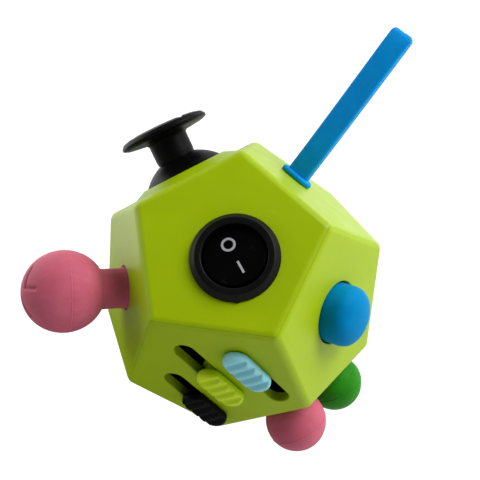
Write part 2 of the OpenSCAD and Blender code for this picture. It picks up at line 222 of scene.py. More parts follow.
def lip(q, steps=5):
    """(offset, height) levels of a cutter that leaves a hole's edge rounded by q."""
    levels = [(q * (1 - cos(a)), -q + q * sin(a)) for a in (pi * 0.42 * k / steps for k in range(steps + 1))]
    d, z = levels[-1]
    return levels + [(d + 0.3 * q, z + 0.09 * q), (d + 0.3 * q, 4)]


CUT_DEPTH = 4.5


def hole(bm, outline, q):
    """A cutter through the wall, whose hole has its edge rounded by q."""
    loft(bm, outline, [(0, -CUT_DEPTH)] + lip(q))


def to_object(name, bm, place=None):
    if place is not None:
        bmesh.ops.transform(bm, matrix=place, verts=bm.verts)
    bmesh.ops.recalc_face_normals(bm, faces=bm.faces)
    mesh = bpy.data.meshes.new(name)
    bm.to_mesh(mesh)
    bm.free()
    obj = bpy.data.objects.new(name, mesh)
    bpy.context.scene.collection.objects.link(obj)
    return obj


def soften(obj, angle=32):
    """Smooth shading, with the edges over that angle kept sharp and the large flats kept flat."""
    bm = bmesh.new()
    bm.from_mesh(obj.data)
    for f in bm.faces:
        f.smooth = True
    for e in bm.edges:
        e.smooth = len(e.link_faces) != 2 or e.calc_face_angle(0) < radians(angle)
    bm.to_mesh(obj.data)
    bm.free()
    weigh(obj)


def weigh(obj):
    w = obj.modifiers.new("normals", "WEIGHTED_NORMAL")
    w.keep_sharp = True
    w.mode = "FACE_AREA"
    w.weight = 50


def cut(obj, *tools):
    """Cuts the tools out of obj, and removes them."""
    for t in tools:
        m = obj.modifiers.new("cut", "BOOLEAN")
        m.operation = "DIFFERENCE"
        m.solver = "EXACT"
        m.object = t
    bpy.context.view_layer.update()
    dg = bpy.context.evaluated_depsgraph_get()
    mesh = bpy.data.meshes.new_from_object(obj.evaluated_get(dg), depsgraph=dg)
    obj.modifiers.clear()
    old = obj.data
    obj.data = mesh
    bpy.data.meshes.remove(old)
    for t in tools:
        bpy.data.objects.remove(t)


def finish_piece(obj, material, slot, body, *replaced, angle=32):
    obj.data.materials.clear()
    obj.data.materials.append(material)
    if angle:
        soften(obj, angle)
    if body:
        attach(obj, body)
    if replaced:
        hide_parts(*replaced)
    return obj


# ---- materials ----


def linear(r, g, b):
    def one(c):
        c /= 255
        return c / 12.92 if c <= 0.04045 else ((c + 0.055) / 1.055) ** 2.4

    return (one(r), one(g), one(b), 1.0)


def scaled(colour, k):
    return (*[min(1.0, c * k) for c in colour[:3]], 1.0)


class Nodes:
    """A material's node tree with short ways to add to it."""

    def __init__(self, name):
        self.material = bpy.data.materials.new(name)
        self.material.use_nodes = True
        self.tree = self.material.node_tree
        self.shader = self.tree.nodes["Principled BSDF"]
        self.place = self.add("ShaderNodeTexCoord").outputs["Object"]

    def add(self, kind, **values):
        n = self.tree.nodes.new(kind)
        for k, v in values.items():
            setattr(n, k, v)
        return n

    def link(self, a, b):
        self.tree.links.new(a, b)

    def noise(self, size, detail=3.0, rough=0.55, vector=None, distortion=0.0):
        """Noise whose blobs are about size metres wide."""
        n = self.add("ShaderNodeTexNoise")
        n.inputs["Scale"].default_value = 1 / size
        n.inputs["Detail"].default_value = detail
        n.inputs["Roughness"].default_value = rough
        n.inputs["Distortion"].default_value = distortion
        self.link(vector or self.place, n.inputs["Vector"])
        return n.outputs["Fac"]

    def mapped(self, value, low, high, to_low, to_high):
        n = self.add("ShaderNodeMapRange")
        for i, v in enumerate((low, high, to_low, to_high)):
            n.inputs[i + 1].default_value = v
        self.link(value, n.inputs[0])
        return n.outputs[0]

    def mix(self, factor, a, b):
        n = self.add("ShaderNodeMix", data_type="RGBA")
        for socket, v in ((n.inputs["A"], a), (n.inputs["B"], b)):
            if isinstance(v, tuple):
                socket.default_value = v
            else:
                self.link(v, socket)
        self.link(factor, n.inputs["Factor"])
        return n.outputs["Result"]

    def maths(self, operation, a, b):
        n = self.add("ShaderNodeMath", operation=operation)
        for i, v in enumerate((a, b)):
            if isinstance(v, (int, float)):
                n.inputs[i].default_value = v
            else:
                self.link(v, n.inputs[i])
        return n.outputs[0]

    def stretched(self, x, y, z):
        n = self.add("ShaderNodeMapping")
        n.inputs["Scale"].default_value = (x, y, z)
        self.link(self.place, n.inputs["Vector"])
        return n.outputs["Vector"]

    def hairlines(self, size, width, seed):
        """1 on fine, broken, slightly curved scratches, 0 elsewhere."""
        shift = self.add("ShaderNodeVectorMath", operation="ADD")
        shift.inputs[1].default_value = (seed, seed * 0.7, seed * 1.3)
        bent = self.add("ShaderNodeTexNoise")
        bent.inputs["Scale"].default_value = 0.6 / size
        self.link(self.place, bent.inputs["Vector"])
        wobble = self.add("ShaderNodeVectorMath", operation="SCALE")
        wobble.inputs["Scale"].default_value = size * 0.9
        self.link(bent.outputs["Color"], wobble.inputs[0])
        add = self.add("ShaderNodeVectorMath", operation="ADD")
        self.link(self.place, add.inputs[0])
        self.link(wobble.outputs[0], add.inputs[1])
        self.link(add.outputs[0], shift.inputs[0])
        cells = self.add("ShaderNodeTexVoronoi", feature="DISTANCE_TO_EDGE")
        cells.inputs["Scale"].default_value = 1 / size
        self.link(shift.outputs[0], cells.inputs["Vector"])
        line = self.mapped(cells.outputs["Distance"], 0.0, width / size, 1.0, 0.0)
        broken = self.mapped(self.noise(size * 0.8, 2.0, vector=shift.outputs[0]), 0.56, 0.64, 0.0, 1.0)
        return self.maths("MULTIPLY", line, broken)

    def bump(self, height, distance, strength=1.0, after=None):
        n = self.add("ShaderNodeBump")
        n.inputs["Strength"].default_value = strength
        n.inputs["Distance"].default_value = distance
        self.link(height, n.inputs["Height"])
        if after is not None:
            self.link(after, n.inputs["Normal"])
        return n.outputs["Normal"]


def plastic(name, colour, rough, vary=0.05, grain=(0.00022, 0.000006), scratch=None, shine=0.25):
    """Moulded plastic: slow colour drift, a fine spark-eroded grain, uneven gloss, and hairline scratches."""
    n = Nodes(name)
    drift = n.mapped(n.noise(0.011, 3), 0.3, 0.7, 0, 1)
    tint = n.mix(drift, scaled(colour, 1 - vary), scaled(colour, 1 + vary))
    speck = n.mapped(n.noise(0.0009, 4, 0.7), 0.62, 0.8, 0, 0.35)
    tint = n.mix(speck, tint, scaled(colour, 1 + 2.5 * vary))
    gloss = n.mapped(n.noise(0.004, 4), 0.3, 0.7, rough - 0.04, rough + 0.05)
    normals = n.bump(n.noise(grain[0], 2), grain[1])
    if scratch:
        size, width, lift, seed = scratch
        lines = n.hairlines(size, width, seed)
        worn = scaled(colour, 1.9) if max(colour[:3]) > 0.05 else (0.05, 0.05, 0.055, 1)
        tint = n.mix(n.maths("MULTIPLY", lines, lift), tint, worn)
        gloss = n.maths("ADD", gloss, n.maths("MULTIPLY", lines, 0.15))
        normals = n.bump(lines, -0.00001, after=normals)
    n.link(tint, n.shader.inputs["Base Color"])
    n.link(gloss, n.shader.inputs["Roughness"])
    n.link(normals, n.shader.inputs["Normal"])
    n.shader.inputs["Specular IOR Level"].default_value = shine
    return n.material


def silicone(name, colour, deep, dusty=0.1, rough=0.55, shine=0.1):
    """Matte silicone: a soft bloom of dust, faint mottling, a little light in its depth."""
    n = Nodes(name)
    drift = n.mapped(n.noise(0.006, 4), 0.3, 0.7, 0, 1)
    tint = n.mix(drift, deep, colour)
    dust = n.mapped(n.noise(0.0013, 6, 0.7), 0.55, 0.85, 0, dusty)
    tint = n.mix(dust, tint, (0.62, 0.6, 0.62, 1))
    gloss = n.mapped(n.noise(0.003, 4), 0.3, 0.7, rough - 0.06, rough + 0.07)
    normals = n.bump(n.noise(0.0016, 4, 0.55), 0.000012)
    normals = n.bump(n.noise(0.00025, 2), 0.000002, after=normals)
    n.link(tint, n.shader.inputs["Base Color"])
    n.link(gloss, n.shader.inputs["Roughness"])
    n.link(normals, n.shader.inputs["Normal"])
    n.shader.inputs["Specular IOR Level"].default_value = shine
    n.shader.inputs["Subsurface Weight"].default_value = 0.12
    n.shader.inputs["Subsurface Scale"].default_value = 0.0012
    n.shader.inputs["Sheen Weight"].default_value = dusty * 0.3
    n.shader.inputs["Sheen Roughness"].default_value = 0.5
    return n.material


def metal(name, colour, rough, brushed):
    n = Nodes(name)
    streaks = n.noise(0.0006, 5, 0.6, n.stretched(*brushed))
    tint = n.mix(n.mapped(streaks, 0.3, 0.7, 0, 1), scaled(colour, 0.88), colour)
    n.link(tint, n.shader.inputs["Base Color"])
    n.link(n.mapped(streaks, 0.3, 0.7, rough * 0.8, rough * 1.25), n.shader.inputs["Roughness"])
    n.link(n.bump(streaks, 0.000002), n.shader.inputs["Normal"])
    n.shader.inputs["Metallic"].default_value = 1.0
    return n.material


LIME = (0.335, 0.475, 0.001, 1)
M = {
    "green_case": plastic("lime_abs", LIME, 0.36, 0.035, scratch=(0.011, 0.00006, 0.12, 3.1), shine=0.18),
    "black_switch": plastic(
        "black_switch", (0.0011, 0.0011, 0.0012, 1), 0.34, 0.15,
        grain=(0.0004, 0.000006), scratch=(0.005, 0.00004, 0.25, 1.7), shine=0.04,
    ),
    "switch_print": plastic("switch_print", (0.38, 0.38, 0.4, 1), 0.55, 0.06),
    "spring_steel": metal("spring_steel", (0.62, 0.6, 0.56, 1), 0.28, (1, 1, 0.1)),
    "black_stick": plastic("black_stick", (0.002, 0.002, 0.0022, 1), 0.42, 0.15, (0.0003, 0.000012), shine=0.08),
    "grey_plastic": plastic("dark_grey_plastic", (0.022, 0.022, 0.024, 1), 0.45, 0.1),
    "white_plastic": plastic("white_plastic", (0.68, 0.68, 0.66, 1), 0.42, 0.04),
    "pink_silicone": silicone("pink_silicone", linear(199, 98, 119), linear(186, 86, 106), 0.12),
    "green_silicone": silicone("green_silicone", linear(42, 140, 14), linear(28, 120, 6), 0.03),
    "blue_silicone": silicone("blue_silicone", linear(0, 135, 192), linear(0, 120, 178), 0.0, shine=0.03),
    "light_blue_plastic": plastic("light_blue_plastic", linear(146, 219, 230), 0.42, 0.04),
    "lime_plastic": plastic("lime_slider_plastic", linear(204, 232, 10), 0.42, 0.04),
    "black_plastic": plastic("black_plastic", (0.0012, 0.0012, 0.0013, 1), 0.42, 0.12, shine=0.07),
    "blue_plastic": plastic("blue_plastic", linear(28, 105, 190), 0.4, 0.04),
    "yellow_plastic": plastic("yellow_plastic", linear(238, 190, 20), 0.4, 0.04),
    "orange_plastic": plastic("orange_plastic", linear(232, 96, 24), 0.4, 0.04),
    "mid_green_plastic": plastic("mid_green_plastic", linear(34, 134, 42), 0.4, 0.04),
    "polished_steel": metal("polished_steel", (0.82, 0.82, 0.83, 1), 0.09, (1, 1, 1)),
    "steel_screw": metal("zinc_screw", (0.6, 0.6, 0.61, 1), 0.32, (1, 0.2, 1)),
}
bezel_black = plastic("bezel_black", (0.0012, 0.0012, 0.0013, 1), 0.44, 0.15, (0.00028, 0.00003), shine=0.16)
# painted light: a lighter copy of the blue silicone than the button's, standing in for light on the strap
strap_blue_brightened = silicone("strap_blue_brightened", linear(0, 154, 232), linear(0, 140, 218), 0.0, 0.6)
for part in frame["record"]["subparts"]:
    obj = nodes[part["node"]]
    obj.data.materials.clear()
    obj.data.materials.append(M[part["material_slot"]])

# ---- case ----

FILLET = 1.9
WALL = 2.0


def dodecahedron():
    """The whole outer skin, with its edges and corners rounded."""
    bm = bmesh.new()
    names = list(FACES)
    corners = []
    for i in range(12):
        for j in range(i + 1, 12):
            for k in range(j + 1, 12):
                a, b, c = normal(names[i]), normal(names[j]), normal(names[k])
                if a.dot(b) > 0.4 and b.dot(c) > 0.4 and a.dot(c) > 0.4:
                    corners.append((a + b + c).normalized() * R * 1.258409)
    verts = [bm.verts.new(c) for c in corners]
    for name in names:
        n = normal(name)
        ring = [v for v in verts if abs(v.co.dot(n) - R) < 0.01]
        side = (ring[0].co - n * R).normalized()
        across = n.cross(side)
        ring.sort(key=lambda v: atan2(v.co.dot(across), v.co.dot(side)))
        bm.faces.new(ring)
    bmesh.ops.recalc_face_normals(bm, faces=bm.faces)
    bmesh.ops.bevel(
        bm, geom=bm.edges[:] + bm.verts[:], offset=FILLET * tan(TILT / 2), offset_type="OFFSET",
        segments=8, profile=0.5, affect="EDGES", clamp_overlap=False,
    )
    return bm


def case_half(name, members):
    """One half of the skin, made into a wall that ends on the zigzag parting line."""
    bm = dodecahedron()
    ups = {n: normal(n) for n in FACES}
    gone = [f for f in bm.faces if max(ups, key=lambda n: ups[n].dot(f.calc_center_median())) not in members]
    bmesh.ops.delete(bm, geom=gone, context="FACES")
    outer = list(bm.faces)
    rim = [e for e in bm.edges if len(e.link_faces) == 1]
    inside = {}
    k = (R - WALL) / R
    for v in list(bm.verts):
        inside[v] = bm.verts.new(v.co * k)
    for f in outer:
        bm.faces.new([inside[v] for v in reversed(f.verts)])
    for e in rim:
        a, b = e.verts
        bm.faces.new([a, b, inside[b], inside[a]])
    bmesh.ops.recalc_face_normals(bm, faces=bm.faces)
    seam = [e for e in rim if e.is_valid]
    bmesh.ops.bevel(
        bm, geom=seam, offset=0.07, offset_type="OFFSET",
        segments=2, profile=0.5, affect="EDGES", clamp_overlap=True,
    )
    return to_object(name, bm, Matrix.Scale(0.001, 4) @ Matrix.Translation((0, 0, R)))


def tool(place, *shapes):
    """A cutter: each shape is a function that fills a bmesh."""
    bm = bmesh.new()
    for s in shapes:
        s(bm)
    return to_object("tool", bm, place)


ROCKER_AT = (2.8, 0.4)
STICK_AT = (0, -0.4)
PULL_AT = (0, 0.25)
PRESS_AT = (0, 0.2)
STRAP_AT = (-0.2, 3.8)
SLOTS = ((-3.15, -8.1, 16.2), (2.65, 0, 17.4), (-3.15, 8.1, 16.2))
TRIO = {"pink": (-8.5, -3.05, 5.45, 6.3), "green": (-0.6, 8.55, 5.5, 6.15), "blue": (6, -2, 4.4, 5.2)}
CLICK_AT = [(0, 0)] + [(6.4 * cos(radians(a)), 6.4 * sin(radians(a))) for a in (45, 135, 225, 315)]
BOSS = 12.8


def dish_tool(bm):
    big = (9 * 9 + 1.1 * 1.1) / 2.2
    profile = [(0, -1.1)]
    for k in range(1, 25):
        r = 8.7 * k / 24
        profile.append((r, big - 1.1 - sqrt(big * big - r * r)))
    lathe(bm, profile + [(9.0, -0.05), (9.35, 0.03), (9.35, 3), (0, 3)], 128)


# The opening round the steel ball, and one cup that a small ball's stem stands in.
SOCKET = [
    (0, -6), (4.19, -6), (5.15, -3), (5.02, -1.9), (4.6, -0.72), (4.42, -0.42),
    (4.5, -0.2), (4.72, -0.04), (5.0, 0.03), (5.0, 3), (0, 3),
]
STEM_HOLE_R = 3.75
STEM_CUP = [(0, -4.5), (0, -0.95), (0.25, -0.75), (0.75, -0.2), (1.05, 0.03), (1.05, 4)]

upper = case_half("case_upper", UPPER)
cut(
    upper,
    tool(face("ROCKER", ROCKER_AT), lambda b: hole(b, disc(7.5), 0.2)),
    tool(face("STICK", STICK_AT), lambda b: loft(b, disc(BOSS, 128), [(0, -4.5), (0, 3)])),
    tool(face("PULL", PULL_AT), lambda b: hole(b, disc(4.5, 96), 0.15)),
    tool(face("STRAP", STRAP_AT), lambda b: hole(b, oblong(2.7, 4.95, 0.5), 0.15)),
    tool(face("DIAL"), lambda b: hole(b, disc(2.08), 0.2)),
    tool(face("ROLLER"), lambda b: lathe(b, SOCKET, 96)),
)
bm = bmesh.new()
boss = [(sqrt(11.55**2 - (z + 6.3) ** 2), z, 0) for z in (-2.0, -1.2, -0.4, 0.3, 0.8)]
boss += [(8.84, 1.2, 0.16), (9.35, 1.2, 0.35), (12.1, 0.0, 0.8), (BOSS, 0, 0), (BOSS, -2.0, 0)]
lathe(bm, filleted(boss, 6), 128, closed=True)
upper_boss = to_object("boss", bm, face("STICK", STICK_AT))
lower = case_half("case_lower", [n for n in FACES if n not in UPPER])
cut(
    lower,
    tool(face("SLIDE", turn=216), *[lambda b, s=s: hole(b, stadium(s[2], 4.2, 14, 2, s[:2]), 0.28) for s in SLOTS]),
    tool(face("PRESS", PRESS_AT), lambda b: hole(b, disc(6.25, 96), 0.25)),
    tool(face("TRIO"), *[lambda b, t=t: loft(b, disc(STEM_HOLE_R, 72, t[:2]), STEM_CUP) for t in TRIO.values()]),
    tool(face("CLICKS"), *[lambda b, p=p: hole(b, disc(2.4, 48, p), 0.2) for p in CLICK_AT]),
    tool(face("WHEELS"), *[lambda b, k=k: hole(b, oblong(12.4, 4.1, 0.5, at=(0, 5 * k)), 0.2) for k in (-1, 0, 1)]),
    tool(face("REST"), dish_tool),
)


def join(target, *others):
    """Adds the others' meshes to target's."""
    bm = bmesh.new()
    for o in (target, *others):
        bm.from_mesh(o.data)
    bm.to_mesh(target.data)
    bm.free()
    for o in others:
        bpy.data.objects.remove(o)


join(upper, upper_boss)
finish_piece(upper, M["green_case"], "green_case", "case", "upper_shell")
finish_piece(lower, M["green_case"], "green_case", "case", "lower_shell")

# ---- rocker switch ----


def angle_gap(a, b):
    return abs((a - b + pi) % (2 * pi) - pi)


bm = bmesh.new()
lathe(bm, filleted([
    (0, -8.5, 0), (7.3, -8.5, 0.4), (7.3, -0.02, 0), (8.2, -0.02, 0), (8.2, 0.35, 0.2), (7.15, 1.5, 0.25),
    (5.98, 1.46, 0.2), (5.92, -6.4, 0), (0, -6.4, 0),
], 5), 128)
for v in bm.verts:  # the gate mark on the bezel's edge
    r = hypot(v.co.x, v.co.y)
    if r > 7.9 and v.co.z > -0.1:
        k = exp(-(angle_gap(atan2(v.co.y, v.co.x), radians(-25)) * 8.2 / 0.42) ** 4)
        v.co.x *= 1 + 0.22 * k / r
        v.co.y *= 1 + 0.22 * k / r
bezel = to_object("switch_bezel", bm, face("ROCKER", ROCKER_AT))
finish_piece(bezel, bezel_black, "black_switch", "case", "rocker_housing")

bm = bmesh.new()
lathe(bm, filleted([
    (0, -1.6, 0), (5.6, -1.6, 0.3), (5.6, 1.6, 0.14), (0, 1.6, 0),
], 5), 128)
axle = lathe(bm, filleted([(0, -6.6, 0), (0.8, -6.6, 0.2), (0.8, 6.6, 0.2), (0, 6.6, 0)], 4), 32)
bmesh.ops.rotate(bm, verts=[v for ring in axle for v in ring], matrix=Matrix.Rotation(pi / 2, 3, "X"))
tilted = face("ROCKER", ROCKER_AT) @ Matrix.Translation((0, 0, -1)) @ Matrix.Rotation(radians(-7), 4, "Y")
finish_piece(to_object("switch_disc", bm, tilted), M["black_switch"], "black_switch", "rocker", "rocker_button")

# ---- joystick ----

bm = bmesh.new()
dome = []
for k in range(31):
    a = radians(90 - (90 - 14.9) * k / 30)
    dome.append((11.3 * cos(a), 11.3 * sin(a)))
inner = [(9.8 * cos(radians(17.2 + 72.8 * k / 20)), 9.8 * sin(radians(17.2 + 72.8 * k / 20))) for k in range(21)]
dome[0], inner[-1] = (0, 11.3), (0, 9.8)
lathe(bm, dome + [(r, z) for r, z in inner], 128)
foot = [(0, 9.9, 0), (2.4, 9.9, 0), (2.4, -2.5, 0.1), (2.9, -2.5, 0.1), (2.9, -3.2, 0.15), (0, -3.2, 0)]
lathe(bm, filleted(foot, 4), 48)
stick_dome = to_object("stick_dome", bm, face("STICK", STICK_AT, up=-6.3))
finish_piece(stick_dome, M["black_stick"], "black_stick", "stick", "joystick_dome")

bm = bmesh.new()
top = 9.9
dished = [(r, top + 0.6 + 26 - sqrt(26 * 26 - r * r)) for r in (0.01, 1, 2, 3, 4, 5, 5.6, 6.2, 6.7, 7.1)]
profile = filleted([
    (4.1, 4.2, 0), (4.2, 5.3, 0.3), (4.2, 9.0, 0.7), (8.6, top - 0.32, 2.0),
    (9.5, top + 0.05, 0.2), (9.5, top + 0.5, 0.3), (8.95, top + 1.2, 0.4),
    (7.75, top + 1.55, 0.35), (7.1, dished[-1][1] + 0.05, 0.25), (6.7, dished[-2][1], 0),
], 6)
profile = [(0, 4.2)] + profile + [(r, z) for r, z in reversed(dished[:-2])]
profile[-1] = (0, profile[-1][1])
lathe(bm, profile, 240)
for v in bm.verts:
    r, a = hypot(v.co.x, v.co.y), atan2(v.co.y, v.co.x)
    if 5.9 < r < 8.75 and v.co.z > top + 0.85:  # the four direction notches
        gap = min(angle_gap(a, radians(32) + q * pi / 2) for q in range(4)) * r
        k = 1 / (1 + exp((gap - 0.55) / 0.09))
        v.co.z -= k * max(0.0, v.co.z - (top + 0.95))
    if r < 4.4 and v.co.z < 9:  # the small moulding dimple on the stem
        gap = hypot(angle_gap(a, radians(-122)) * 4.2, v.co.z - 6.3)
        k = exp(-(gap / 0.42) ** 4)
        v.co.x *= 1 - 0.35 * k / 4.2
        v.co.y *= 1 - 0.35 * k / 4.2
square = face("STICK", STICK_AT)
grip = square @ Vector((0, 0, 8))  # the cap rests a little off square
askew = Matrix.Rotation(radians(-2), 4, Vector((0.125, -0.3, 0.946)))
lean = Matrix.Translation(grip) @ askew @ Matrix.Translation(-grip)
thumb_cap = to_object("thumb_stick_cap", bm, lean @ square)
finish_piece(thumb_cap, M["black_stick"], "black_stick", "stick", "thumb_cap", angle=40)

# ---- silicone balls ----


CREASE_DEPTH, CREASE_WIDTH = 0.42, 0.3
CREASES = [((-3.0, -0.25), (-5.25, 0.75)), ((-3.0, -0.25), (-3.5, -4.0)), ((-0.5, 1.0), (-0.75, 4.75))]


def to_segment(point, start, end):
    """The distance of a point from the straight line between start and end."""
    way = end - start
    t = (point - start).dot(way) / way.length_squared
    return (point - start - way * max(0.0, min(1.0, t))).length


def ball(
    name, place, slot, replaced, radius, height, stem, root, seam_turn, creases, hole_r, depth, line, seam_z,
):
    """A ball, its stem and its root in one moulding."""
    bm = bmesh.new()
    join_a = acos((stem + 0.55) / radius) + pi / 2
    ball_profile = []
    angles = [join_a * k / 84 for k in range(85)]
    seam = acos(seam_z / radius)
    angles += [seam + s * d for s in (-1, 1) for d in (0.004, 0.009, 0.016, 0.025)] + [seam]
    for a in sorted(angles):
        ball_profile.append((radius * sin(a), height + radius * cos(a)))
    ball_profile[0] = (0, height + radius)
    rj, zj = ball_profile[-1]
    meet = height - sqrt(radius**2 - stem**2)
    waist = min(stem + 0.3, hole_r - 0.08)
    lower_part = [
        (rj, zj, 0), (stem, meet, 0.5), (stem, 1.6, 1.0), (stem + 0.06, 0.7, 0.6), (waist, -0.2, 0.4),
        (waist, -2.05, 0), (root, -2.05, 0.3), (root, depth, 0.6), (0, depth, 0),
    ]
    lower_part = filleted(lower_part, 5)
    fine = []
    for p, q in zip(lower_part, lower_part[1:]):
        fine.append(p)
        n = int(hypot(q[0] - p[0], q[1] - p[1]) / 0.35)
        if p[1] > -2.2 and q[1] > -2.2:
            fine += [(p[0] + (q[0] - p[0]) * i / (n + 1), p[1] + (q[1] - p[1]) * i / (n + 1)) for i in range(1, n + 1)]
    fine.append(lower_part[-1])
    lathe(bm, ball_profile[:-1] + fine, 180)
    for v in bm.verts:
        x, y, z = v.co
        away = Vector((x, y, z - height))
        d = away.length
        if abs(d - radius) < 0.02 and z > zj - 0.01:
            up = z - height - seam_z
            lift = line * exp(-(up / 0.1) ** 2) - line * 0.8 * exp(-((up + 0.2) / 0.09) ** 2)
            r, a = hypot(x, y), atan2(y, x)
            if up < -0.15:  # the stem side comes from a mould in two halves
                for side in (0, pi):
                    lift += line * exp(-(angle_gap(a, seam_turn + side) * r / 0.14) ** 2)
            if creases and z > height:
                gap = min(to_segment(Vector((x, y)), Vector(p), Vector(q)) for p, q in creases)
                lift -= CREASE_DEPTH * exp(-(gap / CREASE_WIDTH) ** 2)
            v.co += away.normalized() * lift
        elif z < zj and z > 0.3 and hypot(x, y) > stem * 0.9:
            a, r = atan2(y, x), hypot(x, y)
            k = sum(exp(-(angle_gap(a, seam_turn + s) * r / 0.14) ** 2) for s in (0, pi))
            v.co.x *= 1 + line * k / r
            v.co.y *= 1 + line * k / r
    obj = to_object(name, bm, place)
    finish_piece(obj, M[slot], slot, None, *replaced, angle=50)
    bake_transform(obj)
    return obj


ball("big_ball", face("PULL", PULL_AT), "pink_silicone", ("pull_ball", "pull_ball_root"),
     8.0, 11.7, 4.0, 6.6, radians(210), CREASES, 4.5, -6, 0.06, -0.3)
for colour, (x, y, h, r) in TRIO.items():
    ball("small_ball_" + colour, face("TRIO", (x, y)), colour + "_silicone",
         ("squeeze_ball_" + colour, "squeeze_root_" + colour), r, h, 2.9, 4.1,
         radians({"pink": 60, "green": 100, "blue": 0}[colour]), None, STEM_HOLE_R, -4.2, 0.08, 1.4)

# ---- strap ----

bm = bmesh.new()
tip = 35.2
bar = oblong(2.5, 4.75, 0.55, arc=5, run=8)
levels = [(-0.02, -3.0), (-0.02, -2.0), (-0.02, 0.6)]
z = 1.2
while z < 9:
    levels.append((0, z))
    z += 0.35
levels += [(0, 9 + (tip - 1.1 - 9) * k / 30) for k in range(31)]
levels += [(-0.95 + 0.95 * cos(a), tip - 1.0 + 0.95 * sin(a)) for a in (pi / 2 * k / 8 for k in range(1, 8))]
levels.append((-1.0, tip - 0.04))
loft(bm, bar, levels)
for v in bm.verts:
    if v.co.z > tip - 2.6:
        far = 1 / (1 + exp(-(v.co.z - tip + 2.1) / 0.25))
        k = exp(-(v.co.y / 0.16) ** 2) * far
        v.co -= Vector((0.09 * (1 if v.co.x > 0 else -1), 0, 0.08)) * k
for v in bm.verts:  # the face that looks up is rounded off towards the tip, and the strap leans a little
    t = max(0.0, (v.co.z - tip + 4.2) / 4.2)
    if v.co.x < 0:
        v.co.x *= sqrt(1 - 0.8 * t * t)
    v.co.y += 0.5 * max(0.0, (v.co.z - 4) / 31) ** 1.4
flange_levels = [(-0.4 + 0.4 * cos(a), 0.4 + 0.4 * sin(a)) for a in (-pi / 2 + pi / 2 * k / 5 for k in range(6))]
flange_levels += [(-0.55 + 0.55 * cos(a), 0.65 + 0.55 * sin(a)) for a in (pi / 2 * k / 6 for k in range(7))]
flange = loft(bm, stadium(7.3, 4.4, 12, 6), flange_levels)
plug = loft(bm, stadium(8, 5.6, 12, 4), [(-0.3, -3.4), (0, -3.1), (0, -2.3), (-0.3, -2.02)])
crosswise = [v for ring in flange + plug for v in ring]
bmesh.ops.rotate(bm, verts=crosswise, matrix=Matrix.Rotation(pi / 2, 3, "Z"))
place = face("STRAP", STRAP_AT)
strap = to_object("strap_and_flange", bm, place)
finish_piece(strap, strap_blue_brightened, "blue_silicone", None, "strap", "strap_root", angle=40)
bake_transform(strap)

# ---- press button ----

BUTTON_R = 5.9

bm = bmesh.new()
crown = []
for k in range(25):
    t = pi / 2 * k / 24
    crown.append((BUTTON_R * cos(t) ** (2 / 2.5), 1.9 + 3.65 * sin(t) ** (2 / 2.5)))
crown[-1] = (0, 1.9 + 3.65)
lathe(bm, [(4.4, -3.4), (7.35, -3.4), (7.5, -3.2), (7.5, -2.35), (7.4, -2.22), (BUTTON_R + 0.1, -2.2),
           (BUTTON_R, -2.1), (BUTTON_R, 0), (BUTTON_R, 1)] + crown, 128)
lathe(bm, [(4.4, -3.4), (4.4, 3.0), (4.2, 3.2), (0, 3.2)], 128)
bmesh.ops.remove_doubles(bm, verts=bm.verts, dist=0.001)
push_button = to_object("push_button", bm, face("PRESS", PRESS_AT))
finish_piece(push_button, M["blue_silicone"], "blue_silicone", "press_button", "press_button", angle=45)

# ---- sliders ----


GROOVES = (-3.45, -1.15, 1.15, 3.45)
GROOVE_WIDTH, GROOVE_DEPTH = 0.56, 0.75


def slider(name, at, slot, body):
    bm = bmesh.new()
    length, width, top = 11.4, 5.2, 2.0
    outline = stadium(length, width, 20, 46)
    rise = [(0.0, 0.35), (0.0, 0.7)]
    rise += [(-0.95 + 0.95 * cos(a), 1.0 + 0.95 * sin(a)) for a in (pi / 2 * k / 9 for k in range(10))]
    last = rise[-1][0]
    rise += [(last + (-width / 2 + 0.004 - last) * k / 8, top - 0.05 + 0.06 * sin(pi / 2 * k / 8)) for k in range(1, 9)]
    rings = loft(bm, outline, [(-0.3, 0.2), (-0.1, 0.22)] + rise, (True, False))
    for ring in rings[3:]:
        for v in ring:
            wave = max(exp(-abs((v.co.x - g) / GROOVE_WIDTH) ** 2.6) for g in GROOVES)
            floor = top - GROOVE_DEPTH * wave
            if v.co.z > floor:
                v.co.z = floor + 0.12 * (v.co.z - floor)
    bmesh.ops.remove_doubles(bm, verts=rings[-1], dist=0.02)
    loft(bm, stadium(8.4, 3.8, 12), [(0, -2.4), (0, 0.3)])
    loft(bm, stadium(9.6, 6, 14), [(-0.15, -3.3), (0, -3.15), (0, -2.35), (-0.15, -2.2)])
    obj = to_object(name, bm, face("SLIDE", turn=216) @ Matrix.Translation((*at, 0)))
    finish_piece(obj, M[slot], slot, body, body, angle=55)


slider("slider_cap_blue", (0.65, -8.1), "light_blue_plastic", "slider_blue")
slider("slider_cap_yellow", (-1.75, 0), "lime_plastic", "slider_yellow")
slider("slider_cap_black", (-6.95, 8.1), "black_plastic", "slider_black")

# ---- CAD pieces that stay: eased edges ----

for name in ("dial", "wheel_left", "wheel_middle", "wheel_right", *["click_button_%d" % i for i in range(1, 6)]):
    bevel = nodes[name].modifiers.new("eased", "BEVEL")
    bevel.width = 0.00014
    bevel.segments = 2
    bevel.limit_method = "ANGLE"
    bevel.angle_limit = radians(35)
    weigh(nodes[name])

# ---- springs: the CAD coils, copied in spring steel ----

SPRINGS = [
    # CAD node, face, place, joint, foot, head, travel
    ("press_button_spring", "PRESS", PRESS_AT, "press_button_travel", -6.5, 3.2, 2.4),
    ("joystick_spring", "STICK", STICK_AT, "stick_tilt_1", -11.3, -9.5, 0.9),
    *[("click_spring_%d" % i, "CLICKS", p, "click_%d" % i, -6.6, -3.1, 1.2) for i, p in enumerate(CLICK_AT, 1)],
]
for node, side, at, joint, foot, head, travel in SPRINGS:
    coil = bpy.data.objects.new(node.replace("spring", "coil"), nodes[node].data.copy())
    bpy.context.scene.collection.objects.link(coil)
    finish_piece(coil, M["spring_steel"], "spring_steel", "case", node)
    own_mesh(coil)

# ---- light ----


